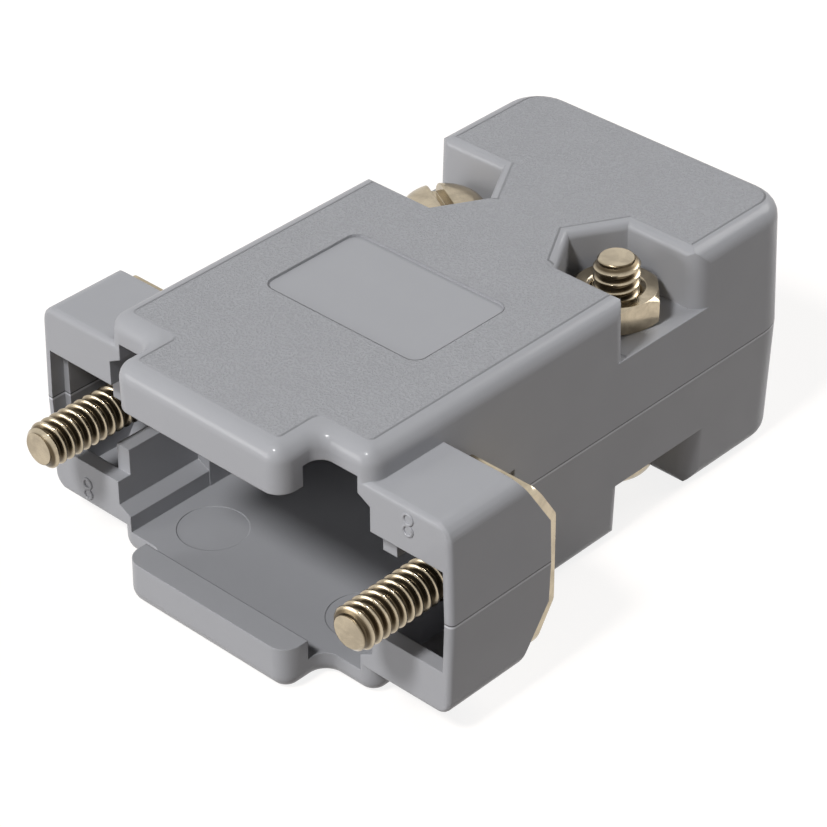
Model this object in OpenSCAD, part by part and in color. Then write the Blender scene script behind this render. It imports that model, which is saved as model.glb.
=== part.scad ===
// Two-part hood for a nine-way d-sub connector, with its screws, nuts and saddle plates.
// Both shell halves are the same moulding; the lower one is the upper one turned over.
// The frame: X runs across the two ears, the connector goes on at -Y, the cable leaves at +Y,
// Z is up, the parting plane is Z = 0 and the ears' front faces are at Y = 0.

/* [Shell outline] */
// Width over the two ears at the parting plane
ear_span = 32.8;
// [32:0.1:34]
// Width of the body at the parting plane
body_w = 21.54;
// [20:0.1:23]
// Length of the body behind the ears' front faces
body_len = 37.36;
// [34:0.1:42]
// Height of one shell half
half_h = 8.42;
// [7.5:0.05:9.5]
// Wall under the flat top
top_wall = 1.72;
// [1.2:0.05:2]
// Side wall of the body
side_wall = 1.37;
// [1:0.05:2]
// Rounding of the top edges
edge_r = 1.12;
// [0.5:0.02:2]
// Plan rounding of the front body corners
front_corner_r = 1.15;
// [1.12:0.01:2]
// Plan rounding of the rear body corners
rear_corner_r = 3.0;
// [2:0.1:5]
// Mould draft, as a rise of one over this run
draft = 0.035;
// [0.01:0.005:0.06]

/* [Front lip] */
// Width of the lip over the connector flange
lip_w = 13.3;
// [12:0.1:15]
// How far the lip stands in front of the ears
lip_reach = 3.14;
// [2.5:0.02:4]
// Lip thickness along the connector axis
lip_t = 1.81;
// [1:0.01:2.5]
// Height of the underside of the lip over the parting plane
lip_under = 5.36;
// [5:0.02:6]
// Plan rounding of the lip corners
lip_corner_r = 1.2;
// [1.12:0.02:2]
// Hollow rounding between the lip and the body
lip_hollow_r = 0.95;
// [0.5:0.05:1.5]

/* [Ears] */
// Depth of the ears from front to back
ear_depth = 8.09;
// [7:0.05:9]
// Height of one ear half
ear_h = 6.53;
// [6:0.05:7]
// Rounding of the outer top edge of the ear
ear_edge_r = 1.1;
// [0.5:0.05:1.6]
// Small rounding of the front top edge of the ear
ear_front_r = 0.4;
// [0.2:0.05:0.8]
// Small rounding of the upright front edge of the ear
ear_side_r = 0.35;
// [0.2:0.05:0.6]
// Height where the rear slope of the ear begins
slope_z = 2.79;
// [2:0.05:4]
// How far the rear slope comes forward at the top
slope_run = 2.41;
// [1.5:0.05:3]
// Front wall of the ear
front_wall = 1.0;
// [0.8:0.05:1.4]
// Rear wall of the ear
rear_wall = 1.0;
// [0.8:0.05:1.4]

/* [Connector opening] */
// Half width of the low window for the flange screws
window_x = 15.83;
// [15:0.01:16]
// Half height of that window
window_z = 3.45;
// [3:0.05:4]
// Half width of the connector well
well_x = 10.37;
// [10:0.01:10.6]
// Depth of the connector well
well_depth = 6.45;
// [5:0.05:8]
// Height of the straight side of the well
well_z = 5.1;
// [4.5:0.05:5.5]
// Height where the well has narrowed
well_z_top = 5.6;
// [5.2:0.05:6]
// Half width of the roof of the well
well_roof_x = 9.45;
// [9:0.05:10]
// Outer face of the wall between well and ear pocket
divider_x = 11.42;
// [11:0.02:11.8]
// Half height of the gap in that wall
divider_gap_z = 1.67;
// [1.5:0.01:2.5]
// Outer face of the ear pocket
pocket_x = 15.35;
// [15:0.01:15.6]
// Half height of the ear pocket
pocket_z = 5.5;
// [5:0.05:6]

/* [Nut pockets] */
// Distance of each assembly screw from the middle
screw_x = 6.9;
// [6.5:0.05:7.2]
// Distance of the assembly screws behind the ear fronts
screw_y = 24.6;
// [22:0.1:27]
// Width of the nut pocket between its front and rear walls
pocket_af = 6.43;
// [6:0.01:7]
// Height of the pocket floor over the parting plane
floor_z = 4.4;
// [4:0.05:5]
// Thickness of the pocket floor and walls
pocket_wall = 1.1;
// [0.8:0.05:1.5]
// Rounding of the pocket rim
rim_r = 0.6;
// [0.2:0.05:0.8]
// Rounding of the two upright edges where the pocket leaves the body
mouth_r = 1.1;
// [0.4:0.05:1.3]
// Radius of the screw boss under the floor
boss_r = 2.7;
// [2.3:0.05:3.2]
// Clearance bore for the assembly screw
clear_r = 1.6;
// [1.5:0.02:1.8]

/* [Label recess] */
// Width of the recess
label_w = 12.12;
// [10:0.02:14]
// Front edge of the recess
label_y = 8.25;
// [7:0.05:10]
// Length of the recess
label_len = 7.83;
// [6:0.01:9]
// Corner rounding of the recess
label_r = 0.8;
// [0.4:0.05:1.5]
// Depth of the recess
label_depth = 0.15;
// [0.08:0.01:0.3]

/* [Cable outlet] */
// Radius of the round cable outlet
outlet_r = 4.0;
// [3:0.1:5]
// Inner radius of the gripping ribs
grip_r = 3.4;
// [2.5:0.1:4]
// Width of one gripping rib
grip_w = 0.8;
// [0.5:0.1:1.5]
// Distance between two gripping ribs
grip_step = 2.1;
// [1.5:0.1:3]
// Where the outlet sleeve begins
sleeve_y = 30.2;
// [29:0.1:32]
// Radius of the locating peg
peg_r = 0.9;
// [0.7:0.05:1.2]
// How far the locating peg stands over the parting plane
peg_h = 1.4;
// [1:0.1:2]
// Distance of the locating peg from the middle
peg_x = 7.6;
// [7.2:0.05:7.7]
// Distance of the locating peg behind the ear fronts
peg_y = 32.6;
// [32:0.1:33.5]
// Clearance of the peg socket
peg_gap = 0.08;
// [0.05:0.01:0.2]

/* [Screws and nuts] */
// Distance between the two jackscrews
jack_pitch = 24.99;
// [24.99:0.01:25]
// Outer radius of the thread
thread_r = 1.42;
// [1.4:0.01:1.45]
// Length of each screw under its head
screw_len = 12.7;
// [12:0.1:13]
// Chamfer at the screw tip
tip_chamfer = 0.32;
// [0.2:0.02:0.5]
// Clearance hole for the jackscrew in the ear
jack_hole_r = 1.72;
// [1.6:0.01:1.72]
// Head radius of the jackscrew
jack_head_r = 2.3;
// [2.2:0.05:2.4]
// Head height of the jackscrew
jack_head_h = 2.1;
// [2:0.1:2.7]
// How far the loosened jackscrew can be drawn back
jack_travel = 0.6;
// [0.3:0.05:0.8]
// Radius of the neck between the jackscrew's head and its free thread
neck_r = 1.25;
// [1:0.01:1.26]
// Head radius of the assembly screw
pan_head_r = 2.75;
// [2.5:0.02:2.8]
// Head height of the assembly screw
pan_head_h = 2.2;
// [1.7:0.1:2.3]
// Width of the screwdriver slot
slot_w = 0.8;
// [0.6:0.05:1]
// Depth of the screwdriver slot
slot_d = 1.0;
// [0.7:0.05:1.2]
// Width across the flats of the nut
nut_af = 5;
// [4.7:0.05:6.35]
// Height of the nut
nut_h = 1.9;
// [1.6:0.05:2.7]
// Width and depth of the chamfers on the nut's corners and bore
nut_bevel = 0.35;
// [0.2:0.05:0.4]
// Turn of the nut in its pocket, in degrees
nut_turn = 13;
// [0:1:30]
// Turn of the left assembly screw's slot, in degrees
slot_turn_left = -62;
// [-90:1:90]
// Turn of the right assembly screw's slot, in degrees
slot_turn_right = 35;
// [-90:1:90]

/* [Saddle plates] */
// Inner edge of the plate
plate_in = 11.0;
// [10.9:0.05:11.3]
// Outer edge of the plate
plate_out = 16.2;
// [15.8:0.05:16.4]
// Thickness of the plate
plate_t = 0.55;
// [0.4:0.05:0.8]
// Running clearance between the plate's notch and the jackscrew's neck
plate_gap = 0.07;
// [0.03:0.01:0.1]
// Half height up to which the plate's bent ends reach
plate_z = 5.15;
// [4.5:0.05:6]
// Rounding of the plate's four corners
plate_corner_r = 0.7;
// [0.3:0.05:1]

/* [Hidden] */
body_hw = body_w / 2;
ear_hw = ear_span / 2;
lip_hw = lip_w / 2;
jack_x = jack_pitch / 2;
roof_z = half_h - top_wall;
cavity_hw = body_hw - side_wall;
cavity_end = body_len - 1.3;
slope_len = sqrt(slope_run * slope_run + (ear_h - slope_z) * (ear_h - slope_z));
slope_ny = (ear_h - slope_z) / slope_len;
slope_nz = slope_run / slope_len;
pocket_back = ear_depth - rear_wall;
slope_d = slope_ny * ear_depth + slope_nz * slope_z;
pocket_slope_z = (slope_d - rear_wall - slope_ny * pocket_back) / slope_nz;
pocket_slope_y = (slope_d - rear_wall - slope_nz * pocket_z) / slope_ny;
seat_y = ear_depth + plate_t;
hex_r = pocket_af / 2 / cos(30);
relief_r = jack_head_r + 0.2;
relief_end = seat_y + jack_head_h + jack_travel + 0.1;
outlet_in = sleeve_y + 2 * grip_step + grip_w;
lean = atan(draft);
shell_color = [0.62, 0.63, 0.65];
metal_color = [0.72, 0.69, 0.61];
step = 0.01;
plate_hole_r = neck_r + plate_gap;

// A rectangle with four round corners, drawn from squares and circles
module round_rect(x0, y0, x1, y1, r) {
    translate([x0 + r, y0]) square([x1 - x0 - 2 * r, y1 - y0]);
    translate([x0, y0 + r]) square([x1 - x0, y1 - y0 - 2 * r]);
    for (x = [x0 + r, x1 - r]) {
        for (y = [y0 + r, y1 - r]) translate([x, y]) circle(r = r, $fn = 32);
    }
}

// A shape drawn in X and Z and pulled along Y from y0 to y1
module along_y(y0, y1) {
    translate([0, y1, 0]) rotate([90, 0, 0]) linear_extrude(y1 - y0) children();
}

// A shape drawn in Y and Z and pulled along X from x0 to x1
module along_x(x0, x1) {
    translate([x0, 0, 0]) rotate([90, 0, 90]) linear_extrude(x1 - x0) children();
}

// A ring or ball that rounds one top corner of a moulded block
module top_corner(ring_r, r) {
    rotate_extrude($fn = 32) {
        intersection() {
            translate([ring_r, 0]) circle(r = r, $fn = 32);
            translate([0, -r]) square([ring_r + r, 2 * r]);
        }
    }
}

// Outer block of the body with leaning sides and a rounded top edge
module body_block() {
    lift = half_h - edge_r;
    top_hw = body_hw - draft * lift - edge_r;
    rear_x = body_hw - rear_corner_r;
    rear_y = body_len - rear_corner_r;
    hull() {
        for (side = [-1, 1]) {
            translate([side * (body_hw - front_corner_r), front_corner_r, 0])
                cylinder(r = front_corner_r, h = step, $fn = 32);
            translate([side * rear_x, rear_y, 0])
                cylinder(r = rear_corner_r, h = step, $fn = 32);
            translate([side * top_hw, edge_r, lift]) top_corner(0, edge_r);
            translate([side * rear_x, rear_y, lift]) top_corner(top_hw - rear_x, edge_r);
        }
    }
}

// Lip that reaches over the connector flange
module lip_block() {
    lift = half_h - edge_r;
    hull() {
        for (side = [-1, 1]) {
            translate([side * (lip_hw - lip_corner_r), -lip_reach + lip_corner_r, lip_under])
                cylinder(r = lip_corner_r, h = step, $fn = 32);
            translate([side * (lip_hw - edge_r), -lip_reach + edge_r, lift]) top_corner(0, edge_r);
            translate([side * (lip_hw - lip_corner_r), 2, lip_under])
                cylinder(r = lip_corner_r, h = step, $fn = 32);
            translate([side * (lip_hw - edge_r), 2, lift]) top_corner(0, edge_r);
        }
    }
}

// Hollow rounding where the lip grows out of the body front, same rounded top edge
module lip_hollow(side) {
    far = 2.95;
    lift = half_h - edge_r;
    mirror([side < 0 ? 1 : 0, 0, 0])
        translate([lip_hw + lip_hollow_r, -lip_hollow_r, 0])
            rotate([0, 0, 90]) rotate_extrude(angle = 90, $fn = 64) {
                polygon(concat([[far, half_h], [far, lip_under], [lip_hollow_r, lip_under]],
                    [for (k = [0:8]) [lip_hollow_r + edge_r - edge_r * cos(k * 11.25),
                        lift + edge_r * sin(k * 11.25)]]));
            }
}

// Outer block of one ear: leaning side, rounded edges and the rear slope
module ear_block(side) {
    lift = ear_h - ear_edge_r;
    top_x = ear_hw - draft * lift - ear_edge_r;
    mirror([side < 0 ? 1 : 0, 0, 0]) difference() {
        ear_core(lift, top_x);
        translate([ear_hw, 0, 0]) rotate([0, -lean, 0]) translate([-ear_side_r, 0, -1])
            linear_extrude(ear_h + 2) mirror([1, -1, 0]) edge_wedge(ear_side_r);
    }
}

// Three crossed profiles that give the ear its edges and its rear slope
module ear_core(lift, top_x) {
    intersection() {
        along_y(0, ear_depth) {
            polygon([[cavity_hw + 0.1, 0], [ear_hw, 0], [ear_hw - draft * lift, lift],
                [top_x, lift], [top_x, ear_h], [cavity_hw + 0.1, ear_h]]);
            translate([top_x, lift]) circle(r = ear_edge_r, $fn = 32);
        }
        along_x(cavity_hw, ear_hw + 1) {
            polygon([[0, -1], [ear_depth, -1], [ear_depth, slope_z],
                [ear_depth - slope_run, ear_h], [ear_front_r, ear_h],
                [ear_front_r, ear_h - ear_front_r], [0, ear_h - ear_front_r]]);
            translate([ear_front_r, ear_h - ear_front_r]) circle(r = ear_front_r, $fn = 32);
        }
        translate([0, -1, 0]) cube([ear_hw + 1, ear_depth + 2, ear_h + 1]);
    }
}

// Opening for the connector: low wide window and the well behind it
module connector_opening() {
    drawn = draft * window_z;
    along_y(-1, front_wall)
        polygon([[-window_x, -1], [window_x, -1], [window_x, 0], [window_x - drawn, window_z],
            [-window_x + drawn, window_z], [-window_x, 0]]);
    along_y(-lip_reach - 1, well_depth)
        polygon([[-well_x, -1], [well_x, -1], [well_x, well_z], [well_roof_x, well_z_top],
            [well_roof_x, lip_under], [-well_roof_x, lip_under],
            [-well_roof_x, well_z_top], [-well_x, well_z]]);
    along_y(-lip_reach + lip_t, well_depth)
        polygon([[-well_x, -1], [well_x, -1], [well_x, well_z], [well_roof_x, well_z_top],
            [well_roof_x, roof_z], [-well_roof_x, roof_z], [-well_roof_x, well_z_top],
            [-well_x, well_z]]);
}

// Groove behind the lip for the long edge of the connector flange
module flange_groove() {
    translate([-ear_hw, -lip_reach + lip_t, -1]) cube([2 * ear_hw, lip_reach - lip_t, roof_z + 1]);
}

// Room inside each ear, with the gap that lets the jackscrew pass
module ear_pocket(side) {
    mirror([side < 0 ? 1 : 0, 0, 0]) {
        along_x(divider_x, pocket_x)
            polygon([[front_wall - step, -1], [pocket_back, -1], [pocket_back, pocket_slope_z],
                [pocket_slope_y, pocket_z], [front_wall - step, pocket_z]]);
        translate([well_x - 0.5, front_wall - step, -1])
            cube([divider_x - well_x + 0.6, well_depth - front_wall - 1, divider_gap_z + 1]);
        translate([well_x, front_wall - step, -1])
            cube([divider_x - well_x + 0.1, pocket_back - front_wall + step, divider_gap_z + 1]);
        translate([jack_x, ear_depth + 1, 0]) rotate([90, 0, 0])
            cylinder(r = jack_hole_r, h = rear_wall + 2, $fn = 48);
        translate([jack_x, relief_end, 0]) rotate([90, 0, 0])
            cylinder(r = relief_r, h = relief_end - ear_depth, $fn = 48);
    }
}

// Room for the wires behind the connector
module wire_room() {
    translate([0, 0, -1]) linear_extrude(roof_z + 1)
        round_rect(-cavity_hw, well_depth - 1.7, cavity_hw, cavity_end, 1.65);
}

// Column that carries the floor of one nut pocket
module pocket_column(side) {
    out_af = pocket_af / 2 + pocket_wall;
    out_r = out_af / cos(30);
    mirror([side < 0 ? 1 : 0, 0, 0]) translate([screw_x, screw_y, 0]) {
        translate([0, 0, floor_z - pocket_wall]) linear_extrude(roof_z - floor_z + pocket_wall + 0.5)
            polygon([[-out_r, 0], [-out_r / 2, out_af], [cavity_hw - screw_x + 0.6, out_af],
                [cavity_hw - screw_x + 0.6, -out_af], [-out_r / 2, -out_af]]);
        cylinder(r = boss_r, h = floor_z, $fn = 48);
    }
}

// Half-hexagon pocket that runs out to the side of the body
module nut_pocket(side) {
    far = body_hw - screw_x + 2;
    mirror([side < 0 ? 1 : 0, 0, 0]) translate([screw_x, screw_y, 0]) {
        translate([0, 0, floor_z]) linear_extrude(half_h)
            polygon([[-hex_r, 0], [-hex_r / 2, pocket_af / 2], [far, pocket_af / 2],
                [far, -pocket_af / 2], [-hex_r / 2, -pocket_af / 2]]);
        translate([0, 0, -1]) cylinder(r = clear_r, h = floor_z + 2, $fn = 48);
        pocket_rim(far);
    }
}

// Corner wedge that a rounding of radius r takes away, wall at x = 0, top at y = r
module edge_wedge(r) {
    polygon(concat([[r, r + 0.5], [-step, r + 0.5], [-step, 0]],
        [for (k = [0:6]) [r - r * cos(15 * k), r * sin(15 * k)]]));
}

// Rounding along the four walls of the pocket and up its two outer edges
module pocket_rim(far) {
    wall = pocket_af / 2;
    for (flip = [0, 1]) mirror([0, flip, 0]) {
        intersection() {
            translate([-hex_r, wall, half_h - rim_r]) rotate([90, 0, 90])
                linear_extrude(far + hex_r) edge_wedge(rim_r);
            linear_extrude(half_h + 1)
                polygon([[0, 0], [-hex_r, 2 * wall], [far, 2 * wall], [far, 0]]);
        }
        intersection() {
            rotate([0, 0, 60]) translate([-2 * hex_r, wall, half_h - rim_r]) rotate([90, 0, 90])
                linear_extrude(4 * hex_r) edge_wedge(rim_r);
            linear_extrude(half_h + 1)
                polygon([[0, 0], [-hex_r, 2 * wall], [-2 * hex_r, 2 * wall], [-2 * hex_r, 0]]);
        }
        translate([body_hw - screw_x, wall, 0]) rotate([0, -lean, 0])
            translate([-mouth_r, 0, floor_z]) linear_extrude(half_h) mirror([1, -1, 0])
                edge_wedge(mouth_r);
    }
}

// Shallow frame for a label in the flat top
module label_recess() {
    translate([0, 0, half_h - label_depth]) linear_extrude(1)
        round_rect(-label_w / 2, label_y, label_w / 2, label_y + label_len, label_r);
}

// Round marks of the two ejector pins in the roof of the well
module ejector_marks() {
    for (side = [-1, 1]) translate([side * 6.2, 3.6, roof_z - 0.5])
        cylinder(r = 2.2, h = 0.54, $fn = 48);
}

// Sleeve of the cable outlet before its bore is cut
module outlet_sleeve() {
    translate([-outlet_r - 1.6, sleeve_y, 0])
        cube([2 * outlet_r + 3.2, body_len - 1 - sleeve_y, roof_z + 0.5]);
}

// Bore of the cable outlet with its gripping ribs left standing
module outlet_bore() {
    translate([0, body_len + 1, 0]) rotate([90, 0, 0])
        cylinder(r = grip_r, h = body_len + 2 - sleeve_y, $fn = 64);
    for (k = [1:2]) translate([0, sleeve_y + k * grip_step, 0])
        rotate([90, 0, 0]) cylinder(r = outlet_r, h = grip_step - grip_w, $fn = 64);
    translate([0, body_len + 1, 0]) rotate([90, 0, 0])
        cylinder(r = outlet_r, h = body_len + 1 - outlet_in, $fn = 64);
}

// Posts for the locating peg on one side and its socket on the other
module peg_posts() {
    for (side = [-1, 1]) translate([side * peg_x, peg_y, 0]) {
        cylinder(r = 1.65, h = roof_z + 0.5, $fn = 48);
        translate([side > 0 ? 0 : -2.1, -0.6, 0]) cube([2.1, 1.2, roof_z + 0.5]);
    }
}

// Peg with a chamfered end, hanging down from its post
module locating_peg() {
    translate([peg_x, peg_y, 0]) rotate_extrude($fn = 32)
        polygon([[0, 1], [peg_r, 1], [peg_r, 0.2 - peg_h], [peg_r - 0.2, -peg_h], [0, -peg_h]]);
}

// One moulded shell half, upper way round
module shell_half() {
    difference() {
        union() {
            difference() {
                union() {
                    body_block();
                    lip_block();
                    for (side = [-1, 1]) {
                        ear_block(side);
                        lip_hollow(side);
                    }
                }
                connector_opening();
                flange_groove();
                wire_room();
                for (side = [-1, 1]) ear_pocket(side);
            }
            for (side = [-1, 1]) pocket_column(side);
            outlet_sleeve();
            peg_posts();
            locating_peg();
        }
        for (side = [-1, 1]) nut_pocket(side);
        label_recess();
        ejector_marks();
        outlet_bore();
        translate([-peg_x, peg_y, -1]) cylinder(r = peg_r + peg_gap, h = peg_h + 1.3, $fn = 32);
    }
}

// Shank with a chamfered tip, along +Z from its seat at zero
module shank() {
    rotate_extrude($fn = 48)
        polygon([[0, 0], [thread_r, 0], [thread_r, screw_len - tip_chamfer],
            [thread_r - tip_chamfer, screw_len], [0, screw_len]]);
}

// Shank of the jackscrew: a slim neck through the plate, full thread in front of the ears
module jack_shank() {
    rotate_extrude($fn = 48)
        polygon([[0, 0], [neck_r, 0], [neck_r, seat_y], [thread_r, seat_y],
            [thread_r, screw_len - tip_chamfer], [thread_r - tip_chamfer, screw_len],
            [0, screw_len]]);
}

// Slotted cheese head standing on its seat, pointing down -Z
module jack_head() {
    dome_r = 6;
    rim = jack_head_h - 0.46;
    difference() {
        rotate_extrude($fn = 64) intersection() {
            translate([0, dome_r - jack_head_h]) circle(r = dome_r, $fn = 128);
            union() {
                translate([0, -rim]) square([jack_head_r, rim]);
                translate([0, -jack_head_h]) square([jack_head_r - 0.25, jack_head_h]);
                intersection() {
                    translate([jack_head_r - 0.25, -rim]) circle(r = 0.25, $fn = 32);
                    translate([jack_head_r - 0.3, -rim - 0.3]) square([0.3, 0.4]);
                }
            }
        }
        translate([-slot_w / 2, -jack_head_r - 1, -jack_head_h - 1])
            cube([slot_w, 2 * jack_head_r + 2, slot_d + 1]);
    }
}

// Slotted pan head standing on its seat, pointing down -Z
module pan_head() {
    round_r = 1.1;
    difference() {
        rotate_extrude($fn = 64) union() {
            translate([0, -pan_head_h]) square([pan_head_r - round_r, pan_head_h]);
            translate([0, -pan_head_h + round_r]) square([pan_head_r, pan_head_h - round_r]);
            intersection() {
                translate([pan_head_r - round_r, -pan_head_h + round_r])
                    circle(r = round_r, $fn = 48);
                translate([0, -pan_head_h]) square([pan_head_r, pan_head_h]);
            }
        }
        translate([-slot_w / 2, -pan_head_r - 1, -pan_head_h - 1])
            cube([slot_w, 2 * pan_head_r + 2, slot_d + 1]);
    }
}

// Jackscrew lying along the connector axis, seated on its plate
module jackscrew(side) {
    translate([side * jack_x, seat_y, 0]) rotate([90, side * 25, 0]) {
        jack_shank();
        jack_head();
    }
}

// Bent plate behind the ear, with a notch for the jackscrew
module saddle_plate(side) {
    bend = atan2(slope_run, ear_h - slope_z);
    end_y = ear_depth - (plate_z - slope_z) * tan(bend);
    outer = concat([for (k = [0:5]) [ear_depth + plate_t * cos(k * bend / 5),
            slope_z + plate_t * sin(k * bend / 5)]],
        [[end_y + plate_t * cos(bend), plate_z + plate_t * sin(bend)]]);
    inner = [[end_y, plate_z], [ear_depth, slope_z], [ear_depth, -slope_z], [end_y, -plate_z]];
    last = len(outer) - 1;
    profile = concat(outer, inner, [for (k = [0:last]) [outer[last - k][0], -outer[last - k][1]]]);
    reach_z = plate_z + plate_t * sin(bend) + step;
    mirror([side < 0 ? 1 : 0, 0, 0]) difference() {
        intersection() {
            along_x(plate_in, plate_out) polygon(profile);
            along_y(ear_depth - 4, seat_y + 1)
                round_rect(plate_in, -reach_z, plate_out, reach_z, plate_corner_r);
        }
        translate([jack_x, seat_y + 1, 0]) rotate([90, 0, 0])
            cylinder(r = plate_hole_r, h = plate_t + 2, $fn = 48);
        translate([plate_in - 1, ear_depth - 1, -plate_hole_r])
            cube([jack_x - plate_in + 1, plate_t + 2, 2 * plate_hole_r]);
    }
}

// Assembly screw through both halves; up = 1 puts the threaded end on top
module assembly_screw(side, up, turn) {
    translate([side * screw_x, screw_y, 0]) rotate([up > 0 ? 0 : 180, 0, 0])
        translate([0, 0, -floor_z]) rotate([0, 0, turn]) {
            shank();
            pan_head();
        }
}

// Hexagon nut with chamfered corners and a threaded bore at thread size
module hex_nut(side, up) {
    corner = nut_af / 2 / cos(30);
    translate([side * screw_x, screw_y, 0]) rotate([up > 0 ? 0 : 180, 0, 0])
        translate([0, 0, floor_z]) difference() {
            intersection() {
                rotate([0, 0, nut_turn]) cylinder(r = corner, h = nut_h, $fn = 6);
                rotate_extrude($fn = 64)
                    polygon([[0, 0], [nut_af / 2, 0], [corner + 0.1, nut_bevel],
                        [corner + 0.1, nut_h - nut_bevel], [nut_af / 2, nut_h], [0, nut_h]]);
            }
            translate([0, 0, -1]) cylinder(r = thread_r, h = nut_h + 2, $fn = 48);
            for (top = [0, 1]) translate([0, 0, top * nut_h]) mirror([0, 0, top])
                rotate_extrude($fn = 48) polygon([[0, -1], [thread_r + nut_bevel, -1],
                    [thread_r + nut_bevel, 0], [thread_r, nut_bevel], [0, nut_bevel]]);
        }
}

module upper_shell() {
    color(shell_color) shell_half();
}

module lower_shell() {
    color(shell_color) rotate([0, 180, 0]) shell_half();
}

module jackscrew_left() {
    color(metal_color) jackscrew(-1);
}

module jackscrew_right() {
    color(metal_color) jackscrew(1);
}

module saddle_plate_left() {
    color(metal_color) saddle_plate(-1);
}

module saddle_plate_right() {
    color(metal_color) saddle_plate(1);
}

module assembly_screw_left() {
    color(metal_color) assembly_screw(-1, -1, slot_turn_left);
}

module assembly_screw_right() {
    color(metal_color) assembly_screw(1, 1, slot_turn_right);
}

module hex_nut_left() {
    color(metal_color) hex_nut(-1, -1);
}

module hex_nut_right() {
    color(metal_color) hex_nut(1, 1);
}

upper_shell();
lower_shell();
jackscrew_left();
jackscrew_right();
saddle_plate_left();
saddle_plate_right();
assembly_screw_left();
assembly_screw_right();
hex_nut_left();
hex_nut_right();
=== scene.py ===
import itertools
import math
import bmesh
import bpy
from mathutils import Matrix, Vector


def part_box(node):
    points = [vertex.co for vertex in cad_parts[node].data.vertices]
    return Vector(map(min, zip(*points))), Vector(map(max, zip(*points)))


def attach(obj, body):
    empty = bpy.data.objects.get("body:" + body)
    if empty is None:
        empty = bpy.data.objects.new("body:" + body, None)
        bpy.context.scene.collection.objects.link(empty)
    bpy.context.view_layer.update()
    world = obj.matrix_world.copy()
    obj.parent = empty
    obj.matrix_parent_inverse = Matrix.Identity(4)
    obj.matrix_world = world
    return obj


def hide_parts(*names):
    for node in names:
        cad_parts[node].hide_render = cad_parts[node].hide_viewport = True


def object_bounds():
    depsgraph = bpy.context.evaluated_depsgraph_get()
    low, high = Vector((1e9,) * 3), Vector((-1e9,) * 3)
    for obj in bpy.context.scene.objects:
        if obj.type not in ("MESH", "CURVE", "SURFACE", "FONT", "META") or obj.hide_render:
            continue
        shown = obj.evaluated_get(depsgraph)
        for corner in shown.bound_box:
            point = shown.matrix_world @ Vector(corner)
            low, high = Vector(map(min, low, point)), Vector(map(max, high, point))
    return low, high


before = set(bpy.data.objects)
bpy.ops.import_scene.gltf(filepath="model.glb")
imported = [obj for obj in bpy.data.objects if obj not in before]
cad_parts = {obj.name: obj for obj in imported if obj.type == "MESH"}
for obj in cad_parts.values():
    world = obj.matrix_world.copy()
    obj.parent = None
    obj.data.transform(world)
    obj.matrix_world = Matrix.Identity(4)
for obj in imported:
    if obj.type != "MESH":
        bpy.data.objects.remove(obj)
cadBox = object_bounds()
mm = 0.001
mergeDistance = 0.002 * mm
cutTolerance = 0.0001 * mm
print("frame loaded:", len(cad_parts), "nodes")

# camera at the angle of the photograph

cameraView = {
    "place": (106.617, -98.712, 106.667),  # mm, in the hood's frame
    "azimuth": 43.29,
    "elevation": 34.70,
    "roll": -0.27,
    "lens": 138.36,                        # mm, on the sensor below
    "sensor": 36,                          # mm
}


def placeCamera(settings):
    az = math.radians(settings["azimuth"])
    el = math.radians(settings["elevation"])
    roll = math.radians(settings["roll"])
    back = Vector((math.sin(az) * math.cos(el), -math.cos(az) * math.cos(el), math.sin(el)))
    right = (-back).cross(Vector((0, 0, 1))).normalized()
    down = (-back).cross(right).normalized()
    turnedRight = right * math.cos(roll) - down * math.sin(roll)
    turnedDown = right * math.sin(roll) + down * math.cos(roll)
    up = -turnedDown
    data = bpy.data.cameras.new("camera")
    data.sensor_width = settings["sensor"]
    data.lens = settings["lens"]
    data.clip_start = 0.01
    data.clip_end = 10
    camera = bpy.data.objects.new("camera", data)
    bpy.context.collection.objects.link(camera)
    place = Vector(settings["place"]) * mm
    camera.matrix_world = Matrix((
        (turnedRight.x, up.x, back.x, place.x),
        (turnedRight.y, up.y, back.y, place.y),
        (turnedRight.z, up.z, back.z, place.z),
        (0, 0, 0, 1),
    ))
    bpy.context.scene.camera = camera


placeCamera(cameraView)
bpy.context.scene.view_settings.view_transform = "Standard"
print("camera placed")

# small helpers for node trees


def newMaterial(name):
    material = bpy.data.materials.new(name)
    material.use_nodes = True
    tree = material.node_tree
    tree.nodes.clear()
    output = tree.nodes.new("ShaderNodeOutputMaterial")
    shader = tree.nodes.new("ShaderNodeBsdfPrincipled")
    tree.links.new(shader.outputs["BSDF"], output.inputs["Surface"])
    return material, tree, shader


def feed(tree, value, socket):
    # links a socket, or writes a plain number
    if hasattr(value, "is_output"):
        tree.links.new(value, socket)
    else:
        socket.default_value = value


def calc(tree, operation, a, b=0.0, c=0.0, clamp=False):
    node = tree.nodes.new("ShaderNodeMath")
    node.operation = operation
    node.use_clamp = clamp
    for socket, value in zip(node.inputs, (a, b, c)):
        feed(tree, value, socket)
    return node.outputs[0]


def remap(tree, value, low, high, toLow, toHigh, smooth=False):
    node = tree.nodes.new("ShaderNodeMapRange")
    node.interpolation_type = "SMOOTHSTEP" if smooth else "LINEAR"
    feed(tree, value, node.inputs["Value"])
    ends = {"From Min": low, "From Max": high, "To Min": toLow, "To Max": toHigh}
    for name, number in ends.items():
        feed(tree, number, node.inputs[name])
    return node.outputs["Result"]


def objectMillimetres(tree):
    coords = tree.nodes.new("ShaderNodeTexCoord")
    scaled = tree.nodes.new("ShaderNodeVectorMath")
    scaled.operation = "SCALE"
    scaled.inputs["Scale"].default_value = 1 / mm
    tree.links.new(coords.outputs["Object"], scaled.inputs[0])
    split = tree.nodes.new("ShaderNodeSeparateXYZ")
    tree.links.new(scaled.outputs[0], split.inputs[0])
    return scaled.outputs[0], split.outputs[0], split.outputs[1], split.outputs[2]


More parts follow.
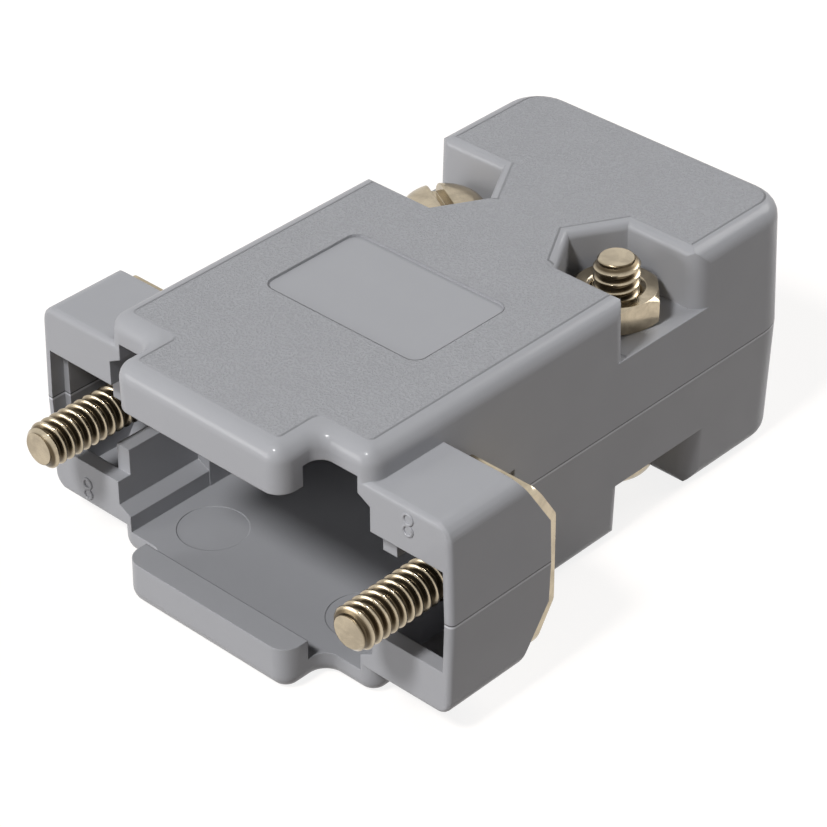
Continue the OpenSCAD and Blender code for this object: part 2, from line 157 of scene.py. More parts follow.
def noise(tree, vector, scale, detail=2.0, roughness=0.5, distortion=0.0):
    node = tree.nodes.new("ShaderNodeTexNoise")
    node.inputs["Scale"].default_value = scale
    node.inputs["Detail"].default_value = detail
    node.inputs["Roughness"].default_value = roughness
    node.inputs["Distortion"].default_value = distortion
    tree.links.new(vector, node.inputs["Vector"])
    return node.outputs["Fac"]


def blendColors(tree, factor, first, second):
    node = tree.nodes.new("ShaderNodeMix")
    node.data_type = "RGBA"
    feed(tree, factor, node.inputs["Factor"])
    feed(tree, first, node.inputs["A"])
    feed(tree, second, node.inputs["B"])
    return node.outputs["Result"]


def shade(color, factor):
    return tuple(min(1.0, channel * factor) for channel in color[:3]) + (1.0,)


def roundBoxDistance(tree, x, y, box, corner):
    # distance to a rounded rectangle, negative inside
    x0, y0, x1, y1 = box
    dx = calc(tree, "ABSOLUTE", calc(tree, "SUBTRACT", x, (x0 + x1) / 2))
    dy = calc(tree, "ABSOLUTE", calc(tree, "SUBTRACT", y, (y0 + y1) / 2))
    dx = calc(tree, "SUBTRACT", dx, (x1 - x0) / 2 - corner)
    dy = calc(tree, "SUBTRACT", dy, (y1 - y0) / 2 - corner)
    px = calc(tree, "MAXIMUM", dx, 0.0)
    py = calc(tree, "MAXIMUM", dy, 0.0)
    outside = calc(tree, "SQRT", calc(tree, "ADD", calc(tree, "MULTIPLY", px, px),
                                      calc(tree, "MULTIPLY", py, py)))
    inside = calc(tree, "MINIMUM", calc(tree, "MAXIMUM", dx, dy), 0.0)
    return calc(tree, "SUBTRACT", calc(tree, "ADD", outside, inside), corner)


def softenNormal(tree, shader, height, radius, samples=8):
    # rounded edges below, surface relief on top
    rounded = tree.nodes.new("ShaderNodeBevel")
    rounded.samples = samples
    rounded.inputs["Radius"].default_value = radius * mm
    bump = tree.nodes.new("ShaderNodeBump")
    bump.inputs["Strength"].default_value = 1.0
    bump.inputs["Distance"].default_value = mm
    tree.links.new(height, bump.inputs["Height"])
    tree.links.new(rounded.outputs["Normal"], bump.inputs["Normal"])
    tree.links.new(bump.outputs["Normal"], shader.inputs["Normal"])


# grey moulded plastic of the two shells

shellFinish = {
    "color": (0.350, 0.354, 0.374, 1),
    "roughness": 0.46,
    "specularLevel": 0.20,
    "coat": (0.20, 0.13),    # weight and roughness of the moulding's thin gloss
    "edgeSoftness": 0.09,    # mm, rounding of the moulded edges
    # relief
    "grainScale": 6.2,       # grains per mm
    "grainHeight": 0.034,    # mm
    "fineGrain": (2.7, 0.35),    # scale and height beside the coarse grain
    "skin": (0.9, 0.006),    # waves per mm and height in mm of the slight unevenness everywhere
    "borderStep": 0.17,      # mm, how far the grained field stands off its border
    "borderRamp": 0.20,      # mm, width of that step
    # tones
    "clouds": (0.965, 1.035),
    "hollowShade": (0.22, 0.55),    # share and tone of the painted shade in the grain's hollows
    "glossSpread": 0.04,
    "grainGloss": 0.12,      # how much rougher the grained field is
    # painted lines between the halves: middle and half width in mm, tone; a painted highlight
    # along the lower half's edge and painted shade in the seam
    "paintedSeamShade": (0.03, 0.05, 0.22),
    "paintedEdgeHighlight": (-0.09, 0.09, 1.75),
    # outlines on the flat top, in mm
    "bodyField": (-9.39, 1.12, 9.39, 36.45),
    "frontCorner": 0.35,
    "rearCorner": 1.6,
    "frontReach": 5,         # keeps the rear corners' rounding away from the front ones
    "lipField": (-5.53, -2.02, 5.53, 4.0),
    "lipCorner": 0.3,
    "lipBlend": 1.0,
    "pocketCentre": (6.9, 24.6),
    "pocketHalf": 3.215,
    "pocketRim": 0.62,
    "rimFade": 0.5,
    "labelField": (-6.06, 8.25, 6.06, 16.08),
    "labelCorner": 0.8,
    "fieldHeight": 8.3,
}


def pocketRim(tree, x, y, settings):
    # positive on the smooth rim of the two half-hexagon pockets and inside them
    centreX, centreY = settings["pocketCentre"]
    half, rim = settings["pocketHalf"], settings["pocketRim"]
    dx = calc(tree, "SUBTRACT", calc(tree, "ABSOLUTE", x), centreX)
    ahead = calc(tree, "SUBTRACT", centreY, y)
    across = calc(tree, "MULTIPLY", calc(tree, "ABSOLUTE", ahead), 0.5)
    slant = calc(tree, "MULTIPLY_ADD", dx, -0.866, across)
    # no rim along the pockets' front edges, nor on the left one's slanted edge beside it
    faded = remap(tree, ahead, 0.0, settings["rimFade"], 0.0, rim, True)
    bare = calc(tree, "MULTIPLY", faded, calc(tree, "LESS_THAN", x, 0.0))
    slant = calc(tree, "SUBTRACT", calc(tree, "ADD", slant, bare), half)
    rearEdge = calc(tree, "MULTIPLY_ADD", ahead, -1.0, -half)
    frontEdge = calc(tree, "ADD", ahead, rim - half)
    flat = calc(tree, "MAXIMUM", rearEdge, frontEdge)
    return calc(tree, "SUBTRACT", rim, calc(tree, "MAXIMUM", slant, flat))


def grainedField(tree, x, y, z, settings):
    # 1 on the textured top, 0 on its smooth border, on the label and on the sides
    x0, y0, x1, y1 = settings["bodyField"]
    front = roundBoxDistance(tree, x, y, settings["bodyField"], settings["frontCorner"])
    longer = (x0, y0 - settings["frontReach"], x1, y1)
    rear = roundBoxDistance(tree, x, y, longer, settings["rearCorner"])
    body = calc(tree, "MAXIMUM", front, rear)
    lip = roundBoxDistance(tree, x, y, settings["lipField"], settings["lipCorner"])
    label = roundBoxDistance(tree, x, y, settings["labelField"], settings["labelCorner"])
    field = calc(tree, "SMOOTH_MIN", body, lip, settings["lipBlend"])
    field = calc(tree, "MAXIMUM", field, pocketRim(tree, x, y, settings))
    field = calc(tree, "MAXIMUM", field, calc(tree, "MULTIPLY", label, -1.0))
    onTop = calc(tree, "GREATER_THAN", calc(tree, "ABSOLUTE", z), settings["fieldHeight"])
    ramp = settings["borderRamp"] / 2
    return calc(tree, "MULTIPLY", remap(tree, field, -ramp, ramp, 1.0, 0.0, True), onTop)


def makeShellPlastic(settings):
    material, tree, shader = newMaterial("greyMouldedPlastic")
    vector, x, y, z = objectMillimetres(tree)
    grained = grainedField(tree, x, y, z, settings)
    fineScale, fineHeight = settings["fineGrain"]
    coarse = noise(tree, vector, settings["grainScale"], 2.0, 0.55, 0.3)
    coarse = remap(tree, coarse, 0.35, 0.65, 0.0, 1.0, True)
    fine = noise(tree, vector, settings["grainScale"] * fineScale, 2.0, 0.5)
    grain = calc(tree, "MULTIPLY_ADD", fine, fineHeight, coarse)
    raised = calc(tree, "MULTIPLY_ADD", grain, settings["grainHeight"], settings["borderStep"])
    skinScale, skinHeight = settings["skin"]
    skin = calc(tree, "MULTIPLY", noise(tree, vector, skinScale, 3.0, 0.6), skinHeight)
    height = calc(tree, "ADD", calc(tree, "MULTIPLY", grained, raised), skin)
    softenNormal(tree, shader, height, settings["edgeSoftness"])

    roughness, spread = settings["roughness"], settings["glossSpread"]
    gloss = noise(tree, vector, 0.35, 3.0)
    gloss = remap(tree, gloss, 0.3, 0.7, roughness - spread, roughness + spread)
    gloss = calc(tree, "MULTIPLY_ADD", grained, settings["grainGloss"], gloss)
    tree.links.new(gloss, shader.inputs["Roughness"])

    color = settings["color"]
    darker, lighter = settings["clouds"]
    clouds = noise(tree, vector, 0.25, 4.0, 0.6)
    base = blendColors(tree, clouds, shade(color, darker), shade(color, lighter))
    # painted shade: the grain's hollows are darkened
    hollowShadeShare, hollowShadeTone = settings["hollowShade"]
    shadedHollows = calc(tree, "MULTIPLY", grained, remap(tree, grain, 0.1, 0.9, hollowShadeShare, 0.0))
    base = blendColors(tree, shadedHollows, base, shade(color, hollowShadeTone))
    # paints a light strip as a highlight on the lower half's edge, and a dark line as shade in
    # the seam between the halves
    for middle, half, tone in (settings["paintedEdgeHighlight"], settings["paintedSeamShade"]):
        away = calc(tree, "ABSOLUTE", calc(tree, "SUBTRACT", z, middle))
        line = remap(tree, away, half / 2, half, 1.0, 0.0)
        base = blendColors(tree, line, base, shade(color, tone))
    tree.links.new(base, shader.inputs["Base Color"])
    shader.inputs["Specular IOR Level"].default_value = settings["specularLevel"]
    shader.inputs["IOR"].default_value = 1.5
    coatWeight, coatRoughness = settings["coat"]
    shader.inputs["Coat Weight"].default_value = coatWeight
    shader.inputs["Coat Roughness"].default_value = coatRoughness
    return material


# nickel plated steel of the screws, nuts and plates

metalFinish = {
    "color": (0.48, 0.41, 0.30, 1),
    "roughness": 0.17,
    "edgeSoftness": 0.04,        # mm
    "blotches": (0.8, 0.82, 1.10),   # number per mm, darkest and lightest tone
    "blotchGloss": 0.03,
    "scratches": (9.0, 0.0015),  # number per mm and depth in mm
    "scratchGloss": 0.05,
    # painted shade and dark reflection in the thread roots
    "paintedRootShade": (0.082, 0.060, 0.034, 1),
    "rootShadeSpan": (0.04, 0.62),     # where down the thread the painted shade starts and is full
    "rootShadeShare": 0.94,
    "grooveGloss": 0.15,
}


def makePlatedMetal(settings):
    material, tree, shader = newMaterial("nickelPlatedSteel")
    vector, x, y, z = objectMillimetres(tree)
    shader.inputs["Metallic"].default_value = 1.0
    blotchScale, darker, lighter = settings["blotches"]
    blotch = noise(tree, vector, blotchScale, 4.0, 0.6, 0.4)
    patch = remap(tree, blotch, 0.32, 0.68, 0.0, 1.0, True)
    color = settings["color"]
    base = blendColors(tree, patch, shade(color, darker), shade(color, lighter))

    # painted shade: the thread roots are darkened nearly to black
    groove = tree.nodes.new("ShaderNodeAttribute")
    groove.attribute_name = "groove"
    top, bottom = settings["rootShadeSpan"]
    depth = remap(tree, groove.outputs["Fac"], top, bottom, 0.0, 1.0, True)
    depth = calc(tree, "MULTIPLY", depth, settings["rootShadeShare"])
    base = blendColors(tree, depth, base, settings["paintedRootShade"])
    tree.links.new(base, shader.inputs["Base Color"])

    scratchScale, scratchDepth = settings["scratches"]
    scratch = noise(tree, vector, scratchScale, 2.0, 0.6)
    roughness, spread = settings["roughness"], settings["blotchGloss"]
    gloss = remap(tree, blotch, 0.3, 0.7, roughness - spread, roughness + spread)
    gloss = calc(tree, "MULTIPLY_ADD", scratch, settings["scratchGloss"], gloss)
    gloss = calc(tree, "MULTIPLY_ADD", depth, settings["grooveGloss"], gloss)
    tree.links.new(gloss, shader.inputs["Roughness"])
    height = calc(tree, "MULTIPLY", scratch, scratchDepth)
    softenNormal(tree, shader, height, settings["edgeSoftness"], 6)
    return material


shellPlastic = makeShellPlastic(shellFinish)
platedMetal = makePlatedMetal(metalFinish)
print("materials ready")

# geometry nodes


def newGeometryTree(name, inputs):
    tree = bpy.data.node_groups.new(name, "GeometryNodeTree")
    for label, kind, start in inputs:
        socket = tree.interface.new_socket(name=label, in_out="INPUT", socket_type=kind)
        if start is not None:
            socket.default_value = start
    tree.interface.new_socket(name="Geometry", in_out="OUTPUT", socket_type="NodeSocketGeometry")
    start = tree.nodes.new("NodeGroupInput")
    end = tree.nodes.new("NodeGroupOutput")
    return tree, start.outputs, end.inputs["Geometry"]


def addNode(tree, kind, **links):
    node = tree.nodes.new(kind)
    for label, value in links.items():
        feed(tree, value, node.inputs[label.replace("_", " ")])
    return node


def applyTree(thing, tree, values):
    # puts the tree on an object, with its inputs set by the sockets' identifiers
    modifier = thing.modifiers.new(tree.name, "NODES")
    modifier.node_group = tree
    for item in tree.interface.items_tree:
        isInput = item.item_type == "SOCKET" and item.in_out == "INPUT"
        if isInput and item.name in values:
            modifier[item.identifier] = values[item.name]


def plainMesh(thing, name):
    # the evaluated result as a plain mesh, with the modifiers gone
    graph = bpy.context.evaluated_depsgraph_get()
    data = bpy.data.meshes.new_from_object(thing.evaluated_get(graph))
    data.name = name
    thing.modifiers.clear()
    bpy.data.objects.remove(thing)
    return data


def looseObject(name, data):
    thing = bpy.data.objects.new(name, data)
    bpy.context.collection.objects.link(thing)
    return thing


# threaded rods: one tree winds the surface of a screw thread around +Z

threadSizes = {
    "pitch": 0.635,         # mm, 40 to the inch
    "length": 12.7,         # mm, under the head
    "major": 1.42,
    "minor": 1.05,
    "neckRadius": 1.25,
    "tipChamfer": 0.42,
    "rowsPerPitch": 16,
    "columns": 44,
    "crest": 0.04,          # shares of the pitch, from the middle of the crest
    "root": 0.41,
    "tipCut": 0.03,         # mm taken off the wound tip to make it flat
    "tipInset": 0.03,       # mm
    "headOverlap": 0.1,     # mm that the head's copy is cut above its seat
}


def makeThreadTree(sizes):
    tree, given, result = newGeometryTree("threadedRod", [
        ("Length", "NodeSocketFloat", sizes["length"] * mm),
        ("Pitch", "NodeSocketFloat", sizes["pitch"] * mm),
        ("Major Radius", "NodeSocketFloat", sizes["major"] * mm),
        ("Minor Radius", "NodeSocketFloat", sizes["minor"] * mm),
        ("Neck Radius", "NodeSocketFloat", sizes["neckRadius"] * mm),
        ("Neck Length", "NodeSocketFloat", 0.0),
        ("Tip Chamfer", "NodeSocketFloat", sizes["tipChamfer"] * mm),
        ("Columns", "NodeSocketInt", sizes["columns"]),
        ("Material", "NodeSocketMaterial", None),
    ])
    length, pitch, major = given["Length"], given["Pitch"], given["Major Radius"]
    row = calc(tree, "DIVIDE", pitch, float(sizes["rowsPerPitch"]))
    rows = calc(tree, "DIVIDE", calc(tree, "MULTIPLY_ADD", pitch, 2.0, length), row)
    rows = calc(tree, "CEIL", rows)
    grid = addNode(tree, "GeometryNodeMeshGrid")
    grid.inputs["Size X"].default_value = 1.0
    grid.inputs["Size Y"].default_value = 1.0
    feed(tree, calc(tree, "ADD", rows, 1.0), grid.inputs["Vertices X"])
    feed(tree, calc(tree, "ADD", given["Columns"], 1.0), grid.inputs["Vertices Y"])
    position = tree.nodes.new("GeometryNodeInputPosition")
    split = tree.nodes.new("ShaderNodeSeparateXYZ")
    tree.links.new(position.outputs[0], split.inputs[0])
    share = calc(tree, "MULTIPLY", calc(tree, "ADD", split.outputs[0], 0.5), rows)
    along = calc(tree, "SUBTRACT", calc(tree, "MULTIPLY", share, row), pitch)
    around = calc(tree, "ADD", split.outputs[1], 0.5)
    climb = calc(tree, "MULTIPLY_ADD", pitch, around, along)

    phase = calc(tree, "FRACT", calc(tree, "ADD", calc(tree, "DIVIDE", along, pitch), 0.5))
    phase = calc(tree, "ABSOLUTE", calc(tree, "SUBTRACT", phase, 0.5))
    groove = remap(tree, phase, sizes["crest"], sizes["root"], 0.0, 1.0, True)
    neckEnd = given["Neck Length"]
    started = remap(tree, climb, neckEnd, calc(tree, "ADD", neckEnd, pitch), 0.0, 1.0, True)
    groove = calc(tree, "MULTIPLY", groove, started)
    depth = calc(tree, "SUBTRACT", major, given["Minor Radius"])
    threaded = calc(tree, "SUBTRACT", major, calc(tree, "MULTIPLY", groove, depth))
    threaded = calc(tree, "SUBTRACT", threaded, given["Neck Radius"])
    radius = calc(tree, "MULTIPLY_ADD", threaded, started, given["Neck Radius"])
    chamferStart = calc(tree, "SUBTRACT", length, given["Tip Chamfer"])
    pastChamfer = calc(tree, "SUBTRACT", climb, chamferStart)
    envelope = calc(tree, "SUBTRACT", major, calc(tree, "MAXIMUM", pastChamfer, 0.0))
    radius = calc(tree, "MINIMUM", radius, envelope)
    over = calc(tree, "DIVIDE", calc(tree, "SUBTRACT", climb, length), row)
    tipCap = calc(tree, "SUBTRACT", 1.0, over, clamp=True)
    footCap = calc(tree, "ADD", 1.0, calc(tree, "DIVIDE", climb, row), clamp=True)
    radius = calc(tree, "MULTIPLY", radius, calc(tree, "MULTIPLY", tipCap, footCap))
    level = calc(tree, "MINIMUM", calc(tree, "MAXIMUM", climb, 0.0), length)

    angle = calc(tree, "MULTIPLY", around, 2 * math.pi)
    place = tree.nodes.new("ShaderNodeCombineXYZ")
    feed(tree, calc(tree, "MULTIPLY", radius, calc(tree, "COSINE", angle)), place.inputs[0])
    feed(tree, calc(tree, "MULTIPLY", radius, calc(tree, "SINE", angle)), place.inputs[1])
    feed(tree, level, place.inputs[2])
    stored = tree.nodes.new("GeometryNodeStoreNamedAttribute")
    stored.data_type = "FLOAT"
    stored.domain = "POINT"
    stored.inputs["Name"].default_value = "groove"
    tree.links.new(grid.outputs["Mesh"], stored.inputs["Geometry"])
    feed(tree, groove, stored.inputs["Value"])
    wound = addNode(tree, "GeometryNodeSetPosition", Geometry=stored.outputs[0],
                    Position=place.outputs[0])
    merged = addNode(tree, "GeometryNodeMergeByDistance", Geometry=wound.outputs[0])
    merged.inputs["Distance"].default_value = 0.001 * mm
    smooth = addNode(tree, "GeometryNodeSetShadeSmooth", Geometry=merged.outputs[0])
    smooth.inputs["Shade Smooth"].default_value = True
    real = addNode(tree, "GeometryNodeRealizeInstances", Geometry=smooth.outputs[0])
    painted = addNode(tree, "GeometryNodeSetMaterial", Geometry=real.outputs[0],
                      Material=given["Material"])
    tree.links.new(painted.outputs[0], result)
    return tree


threadTree = makeThreadTree(threadSizes)

# copies of solids, cut, rounded and joined into pieces

angles = {
    "flat": 3,       # degrees, below this neighbouring faces are joined
    "bevel": 32,     # above this an edge is rounded
    "sharp": 38,     # above this the shading breaks
    "shell": 28,     # the same on the shells
}


def mergedShape(node):
    # a solid's loose triangles as one connected shape
    shape = bmesh.new()
    shape.from_mesh(node.data)
    bmesh.ops.remove_doubles(shape, verts=shape.verts, dist=mergeDistance)
    return shape


def cutShape(shape, parts, place, way):
    # takes off what lies beyond a plane and returns the rim of the cut
    bmesh.ops.bisect_plane(shape, geom=parts, dist=cutTolerance, plane_co=place,
                           plane_no=way, clear_outer=True)
    return [edge for edge in shape.edges if edge.is_boundary]


def everyPart(shape):
    return [*shape.verts, *shape.edges, *shape.faces]


def cutCopy(node, place=None, way=None):
    # a clean copy of a solid, closed again where a plane cuts it
    shape = mergedShape(node)
    if way is not None:
        rim = cutShape(shape, everyPart(shape), place, way)
        bmesh.ops.holes_fill(shape, edges=rim, sides=0)
    bmesh.ops.dissolve_limit(shape, angle_limit=math.radians(angles["flat"]),
                             verts=shape.verts, edges=shape.edges, delimit={"NORMAL"})
    bmesh.ops.recalc_face_normals(shape, faces=shape.faces)
    data = bpy.data.meshes.new("copy")
    shape.to_mesh(data)
    shape.free()
    return data


def bevelled(data, name, width):
    # real rounded edges on a copied solid
    thing = looseObject(name, data)
    bevel = thing.modifiers.new("edges", "BEVEL")
    bevel.width = width * mm
    bevel.segments = 3
    bevel.limit_method = "ANGLE"
    bevel.angle_limit = math.radians(angles["bevel"])
    return plainMesh(thing, name)


def flatTip(data, level, inset):
    # ends a wound rod in one flat round face
    shape = bmesh.new()
    shape.from_mesh(data)
    rim = cutShape(shape, everyPart(shape), (0, 0, level), (0, 0, 1))
    made = bmesh.ops.contextual_create(shape, geom=rim)
    bmesh.ops.inset_region(shape, faces=made["faces"], thickness=inset)
    groove = shape.verts.layers.float["groove"]
    for face in made["faces"]:
        for vert in face.verts:
            vert[groove] = 0.0
    shape.to_mesh(data)
    shape.free()


def weighNormals(thing):
    # keeps the flat faces flat beside their rounded edges
    weighted = thing.modifiers.new("evenFaces", "WEIGHTED_NORMAL")
    weighted.keep_sharp = True
    weighted.mode = "FACE_AREA"
    weighted.weight = 50


def finishPiece(name, parts, body, replaced, material, sharp=angles["sharp"]):
    # joins plain meshes into one piece, shades it smoothly, puts it under its body and hides the
    # solids it replaces
    shape = bmesh.new()
    for data in parts:
        shape.from_mesh(data)
    bmesh.ops.recalc_face_normals(shape, faces=shape.faces)
    data = bpy.data.meshes.new(name)
    shape.to_mesh(data)
    shape.free()
    stale = data.attributes.get("custom_normal")
    if stale:
        data.attributes.remove(stale)
    data.shade_smooth()
    data.set_sharp_from_angle(angle=math.radians(sharp))
    data.materials.clear()
    data.materials.append(material)
    piece = looseObject(name, data)
    weighNormals(piece)
    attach(piece, body)
    for node in replaced:
        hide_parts(node)


# the moulded shells, with the ears' front corners rounded as the mould leaves them

earSizes = {
    "halfWidth": 16.4,      # mm
    "height": 6.53,
    "draft": 0.035,
    "edge": 1.1,            # rounding along the ear
    "front": 0.38,          # rounding of its front edges
    "near": 2.2,            # how far round the corner faces are cut
    "turns": (9, 27, 45, 63, 81),
    "tilts": (15, 45, 75),
}


def roundEarCorner(shape, side, up, sizes):
    # cuts the corner with planes that touch a rounded rim
    lift = sizes["height"] - sizes["edge"]
    inner = sizes["halfWidth"] - sizes["draft"] * lift - sizes["edge"]
    centre = Vector((side * inner, sizes["front"], up * lift)) * mm
    corner = Vector((side * sizes["halfWidth"], 0, up * sizes["height"])) * mm
    for turn, tilt in itertools.product(sizes["turns"], sizes["tilts"]):
        turn, tilt = math.radians(turn), math.radians(tilt)
        flat = math.cos(tilt)
        normal = Vector((side * math.cos(turn) * flat, -math.sin(tilt),
                         up * math.sin(turn) * flat))
        reach = ((sizes["edge"] - sizes["front"]) * flat + sizes["front"]) * mm
        near = [vert for vert in shape.verts if (vert.co - corner).length < sizes["near"] * mm]
        # dictionaries keep the order the same in each run
        faces = dict.fromkeys(face for vert in near for face in vert.link_faces)
        edges = dict.fromkeys(edge for face in faces for edge in face.edges)
        verts = dict.fromkeys(vert for face in faces for vert in face.verts)
        rim = cutShape(shape, [*verts, *edges, *faces], centre + normal * reach, normal)
        bmesh.ops.holes_fill(shape, edges=rim, sides=0)


def makeShell(name, nodeName, up):
    shape = mergedShape(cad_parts[nodeName])
    for side in (-1, 1):
        roundEarCorner(shape, side, up, earSizes)
    data = bpy.data.meshes.new(name)
    shape.to_mesh(data)
    shape.free()
    finishPiece(name, [data], "hood", [nodeName], shellPlastic,
                angles["shell"])


makeShell("roundedShell_upper", "upper_shell", 1)
makeShell("roundedShell_lower", "lower_shell", -1)
print("shells rounded")

# screws, sizes in mm

jackSizes = {
    "headHeight": 2.1,
    "neckLength": 3.4,
    "edge": 0.09,
}
assemblySizes = {
    "headHeight": 2.2,
    "neckLength": -1.3,     # threaded up to its head
    "edge": 0.07,
}


def makeScrew(name, nodeName, body, seat, way, turn, sizes):
    # head from the solid, shank wound by the thread tree
    overlap = threadSizes["headOverlap"] * mm
    head = cutCopy(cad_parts[nodeName], seat + way * overlap, way)
    head = bevelled(head, name + "Head", sizes["edge"])
    rod = looseObject(name + "Rod", bpy.data.meshes.new("rod"))
    applyTree(rod, threadTree, {
        "Length": threadSizes["length"] * mm,
        "Pitch": threadSizes["pitch"] * mm,
        "Major Radius": threadSizes["major"] * mm,
        "Minor Radius": threadSizes["minor"] * mm,
        "Neck Radius": threadSizes["neckRadius"] * mm,
        "Neck Length": sizes["neckLength"] * mm,
        "Tip Chamfer": threadSizes["tipChamfer"] * mm,
        "Columns": threadSizes["columns"],
        "Material": platedMetal,
    })
    shank = plainMesh(rod, name + "Rod")
    tip = (threadSizes["length"] - threadSizes["tipCut"]) * mm
    flatTip(shank, tip, threadSizes["tipInset"] * mm)
    aim = way.to_track_quat("Z", "Y").to_matrix().to_4x4()
    aim = aim @ Matrix.Rotation(math.radians(turn), 4, "Z")
    shank.transform(Matrix.Translation(seat) @ aim)
    finishPiece(name, [head, shank], body, [nodeName], platedMetal)


# turns in degrees, so that the threads begin as in the photograph
for side, turn in (("left", 200), ("right", 20)):
    low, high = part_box("jackscrew_" + side)
    middle = (low + high) / 2
    seat = Vector((middle.x, high.y - jackSizes["headHeight"] * mm, middle.z))
    makeScrew("threadedJackscrew_" + side, "jackscrew_" + side, "screw_" + side, seat,
              Vector((0, -1, 0)), turn, jackSizes)
for side, up, turn in (("left", -1, 130), ("right", 1, 75)):
    low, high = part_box("assembly_screw_" + side)
    middle = (low + high) / 2
    headEnd = low.z if up > 0 else high.z
    seat = Vector((middle.x, middle.y, headEnd + up * assemblySizes["headHeight"] * mm))
    makeScrew("threadedAssemblyScrew_" + side, "assembly_screw_" + side, "hood", seat,
              Vector((0, 0, up)), turn, assemblySizes)
print("screws wound")

# nuts and bent plates with rounded edges

edgeSizes = {"nut": 0.05, "plate": 0.10}  # mm

for side in ("left", "right"):
    nutNode = "hex_nut_" + side
    nut = bevelled(cutCopy(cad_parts[nutNode]), "nut", edgeSizes["nut"])
    finishPiece("roundedNut_" + side, [nut], "hood", [nutNode], platedMetal)
    plateNode = "saddle_plate_" + side
    plate = bevelled(cutCopy(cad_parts[plateNode]), "plate", edgeSizes["plate"])
    finishPiece("roundedPlate_" + side, [plate], "saddle_" + side, [plateNode],
                platedMetal)
print("nuts and plates rounded")

# plain raised cavity number on one ear of each shell

markSizes = {
    "place": (13.17, 0.0, 5.32),   # mm, on the front face of the right ear
    "ringRadius": 0.33,
    "ringStep": 0.74,
    "lineRadius": 0.10,
}


def makeMarkTree():
    tree, given, result = newGeometryTree("ringNumber", [
        ("Ring Radius", "NodeSocketFloat", markSizes["ringRadius"] * mm),
        ("Ring Step", "NodeSocketFloat", markSizes["ringStep"] * mm),
        ("Line Radius", "NodeSocketFloat", markSizes["lineRadius"] * mm),
        ("Material", "NodeSocketMaterial", None),
    ])
    ring = addNode(tree, "GeometryNodeCurvePrimitiveCircle", Radius=given["Ring Radius"])
    ring.inputs["Resolution"].default_value = 32
    line = addNode(tree, "GeometryNodeCurvePrimitiveCircle", Radius=given["Line Radius"])
    line.inputs["Resolution"].default_value = 12
    tube = addNode(tree, "GeometryNodeCurveToMesh", Curve=ring.outputs[0],
                   Profile_Curve=line.outputs[0])
    offset = tree.nodes.new("ShaderNodeCombineXYZ")
    feed(tree, given["Ring Step"], offset.inputs[1])
    points = addNode(tree, "GeometryNodeMeshLine", Offset=offset.outputs[0])
    points.inputs["Count"].default_value = 2
    rings = addNode(tree, "GeometryNodeInstanceOnPoints", Points=points.outputs[0],
                    Instance=tube.outputs[0])
    smooth = addNode(tree, "GeometryNodeSetShadeSmooth", Geometry=rings.outputs[0])
    smooth.inputs["Shade Smooth"].default_value = True
    real = addNode(tree, "GeometryNodeRealizeInstances", Geometry=smooth.outputs[0])
    painted = addNode(tree, "GeometryNodeSetMaterial", Geometry=real.outputs[0],
                      Material=given["Material"])
    tree.links.new(painted.outputs[0], result)
    return tree


markTree = makeMarkTree()
for name, turn in (("cavityNumber_upper", 0), ("cavityNumber_lower", 180)):
    rings = looseObject(name + "Rings", bpy.data.meshes.new("rings"))
    applyTree(rings, markTree, {
        "Ring Radius": markSizes["ringRadius"] * mm,
        "Ring Step": markSizes["ringStep"] * mm,
        "Line Radius": markSizes["lineRadius"] * mm,
        "Material": shellPlastic,
    })
    data = plainMesh(rings, name)
    lowered = Vector((0, 0, markSizes["ringStep"] / 2))
    place = (Vector(markSizes["place"]) - lowered) * mm
    stand = Matrix.Translation(place) @ Matrix.Rotation(math.radians(90), 4, "X")
    data.transform(Matrix.Rotation(math.radians(turn), 4, "Y") @ stand)
    finishPiece(name, [data], "hood", [], shellPlastic)
print("cavity numbers raised")

# floor and light

studio = {
    "floorColor": (0.25, 0.226, 0.208, 1),
    "floorLift": 0.84,          # how much the camera sees the floor above its lit colour
    "floorReach": 6.0,          # m
    "worldColor": (1.0, 0.985, 0.965, 1),
    "worldStrength": 0.08,
    "lampAim": (0, 15, 0),      # mm
    "lamps": [
        # name, direction, distance in mm, size in mm, light on a facing surface
        ("keySoftbox", (0.05, -0.63, 0.78), 560, 100, 0.74),
        ("frontSoftbox", (-0.45, -0.88, 0.10), 560, 300, 0.58),
        ("rearSoftbox", (0.12, 0.80, 0.60), 560, 300, 0.44),
        ("sideSoftbox", (0.95, -0.25, 0.15), 560, 300, 0.07),
    ],
}


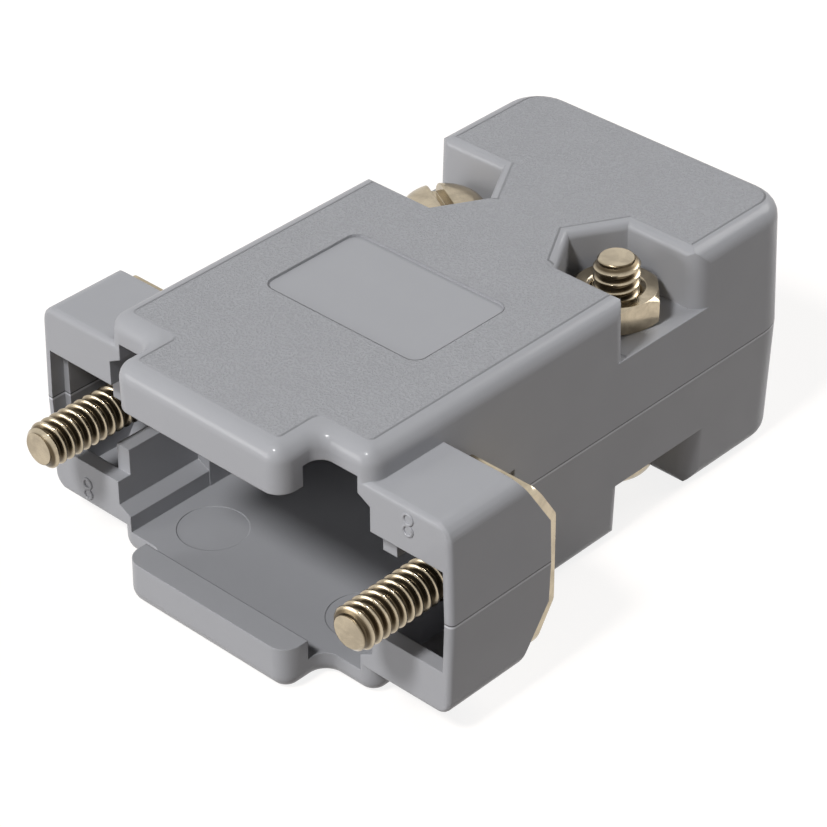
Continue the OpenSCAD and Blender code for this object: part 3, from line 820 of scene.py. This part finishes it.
def seenDirectly(tree):
    # 1 for the camera and for what mirrors or lets the surroundings through
    path = tree.nodes.new("ShaderNodeLightPath")
    seen = calc(tree, "MAXIMUM", path.outputs["Is Camera Ray"], path.outputs["Is Glossy Ray"])
    return calc(tree, "MAXIMUM", seen, path.outputs["Is Transmission Ray"])


def makeFloor(settings):
    low = cadBox[0][2]
    reach = settings["floorReach"]
    data = bpy.data.meshes.new("floor")
    signs = ((-1, -1), (1, -1), (1, 1), (-1, 1))
    corners = [(x * reach, y * reach, low) for x, y in signs]
    data.from_pydata(corners, [], [(0, 1, 2, 3)])
    floor = looseObject("floor", data)
    material, tree, shader = newMaterial("paleFloor")
    shader.inputs["Base Color"].default_value = settings["floorColor"]
    shader.inputs["Roughness"].default_value = 0.9
    shader.inputs["Specular IOR Level"].default_value = 0.0
    shader.inputs["Emission Color"].default_value = (1, 1, 1, 1)
    lift = calc(tree, "MULTIPLY", seenDirectly(tree), settings["floorLift"])
    tree.links.new(lift, shader.inputs["Emission Strength"])
    data.materials.append(material)


def makeWorld(settings):
    world = bpy.data.worlds.new("studio")
    bpy.context.scene.world = world
    world.use_nodes = True
    tree = world.node_tree
    background = tree.nodes["Background"]
    seen = seenDirectly(tree)
    color = blendColors(tree, seen, settings["worldColor"], (1, 1, 1, 1))
    strength = remap(tree, seen, 0.0, 1.0, settings["worldStrength"], 1.0)
    tree.links.new(color, background.inputs["Color"])
    tree.links.new(strength, background.inputs["Strength"])


def makeLamps(settings):
    aim = Vector(settings["lampAim"]) * mm
    for name, direction, distance, size, light in settings["lamps"]:
        data = bpy.data.lights.new(name, "AREA")
        data.shape = "DISK"
        data.size = size * mm
        data.energy = light * math.pi ** 2 * (distance * mm) ** 2
        lamp = bpy.data.objects.new(name, data)
        lamp.location = aim + Vector(direction).normalized() * distance * mm
        lamp.rotation_euler = (aim - lamp.location).to_track_quat("-Z", "Y").to_euler()
        bpy.context.collection.objects.link(lamp)


makeFloor(studio)
makeWorld(studio)
makeLamps(studio)
print("studio ready")
